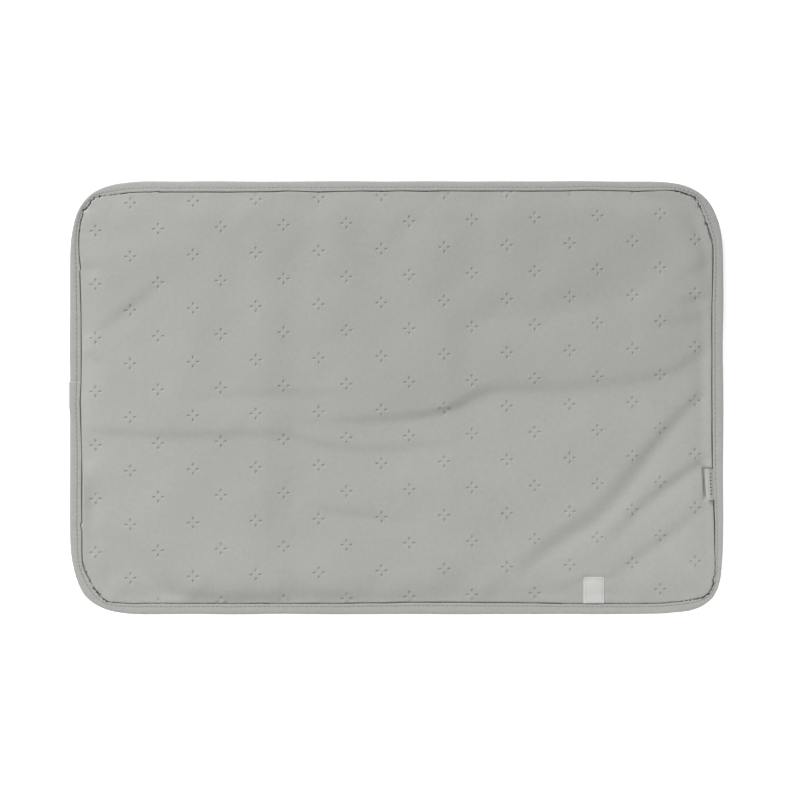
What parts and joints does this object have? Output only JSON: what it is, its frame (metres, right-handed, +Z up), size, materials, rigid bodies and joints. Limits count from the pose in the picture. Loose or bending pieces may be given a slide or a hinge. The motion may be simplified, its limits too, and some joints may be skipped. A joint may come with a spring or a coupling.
{
  "type": "changing pad",
  "caption": "Thin padded baby changing pad that folds in thirds, with an embossed wipe-clean face, taped edge, hook-and-loop closure and a side label.",
  "frame": {"origin": "under the middle of the open pad, at the level of what it lies on", "axes": "+X along the length towards the label's side, +Y across the pad away from the loop patch, +Z up out of the embossed face"},
  "size_m": [0.6, 0.398, 0.0085],
  "materials": {
    "top_cover": "satin",
    "back_cover": "matte",
    "foam": "matte",
    "binding_tape": "matte",
    "thread": "satin",
    "loop_tape": "matte",
    "hook_tape": "satin",
    "label": "satin"
  },
  "bodies": {
    "middle_panel": {"top_cover_middle": "top_cover", "foam_core_middle": "foam", "back_cover_middle": "back_cover", "binding_middle_back": "binding_tape", "binding_middle_front": "binding_tape", "binding_thread_middle_back": "thread", "binding_thread_middle_front": "thread"},
    "left_panel": {"top_cover_left": "top_cover", "foam_core_left": "foam", "back_cover_left": "back_cover", "binding_left": "binding_tape", "binding_thread_left": "thread", "hook_patch": "hook_tape", "hook_patch_thread": "thread"},
    "right_panel": {"top_cover_right": "top_cover", "foam_core_right": "foam", "back_cover_right": "back_cover", "binding_right": "binding_tape", "binding_thread_right": "thread", "loop_patch": "loop_tape", "loop_patch_thread": "thread"},
    "label_flap": {"label": "label"}
  },
  "joints": [
    {"name": "left_fold", "type": "hinge", "parent": "middle_panel", "child": "left_panel", "pos_m": [-0.1, 0, 0.009], "axis": [0, 1, 0], "range_deg": [0, 179.5]},
    {"name": "right_fold", "type": "hinge", "parent": "middle_panel", "child": "right_panel", "pos_m": [0.1, 0, 0.01462], "axis": [0, -1, 0], "range_deg": [0, 179.5]},
    {"name": "label_flip", "type": "hinge", "parent": "right_panel", "child": "label_flap", "pos_m": [0.28945, -0.0798, 0.0051], "axis": [0, 1, 0], "range_deg": [0, 150]}
  ]
}
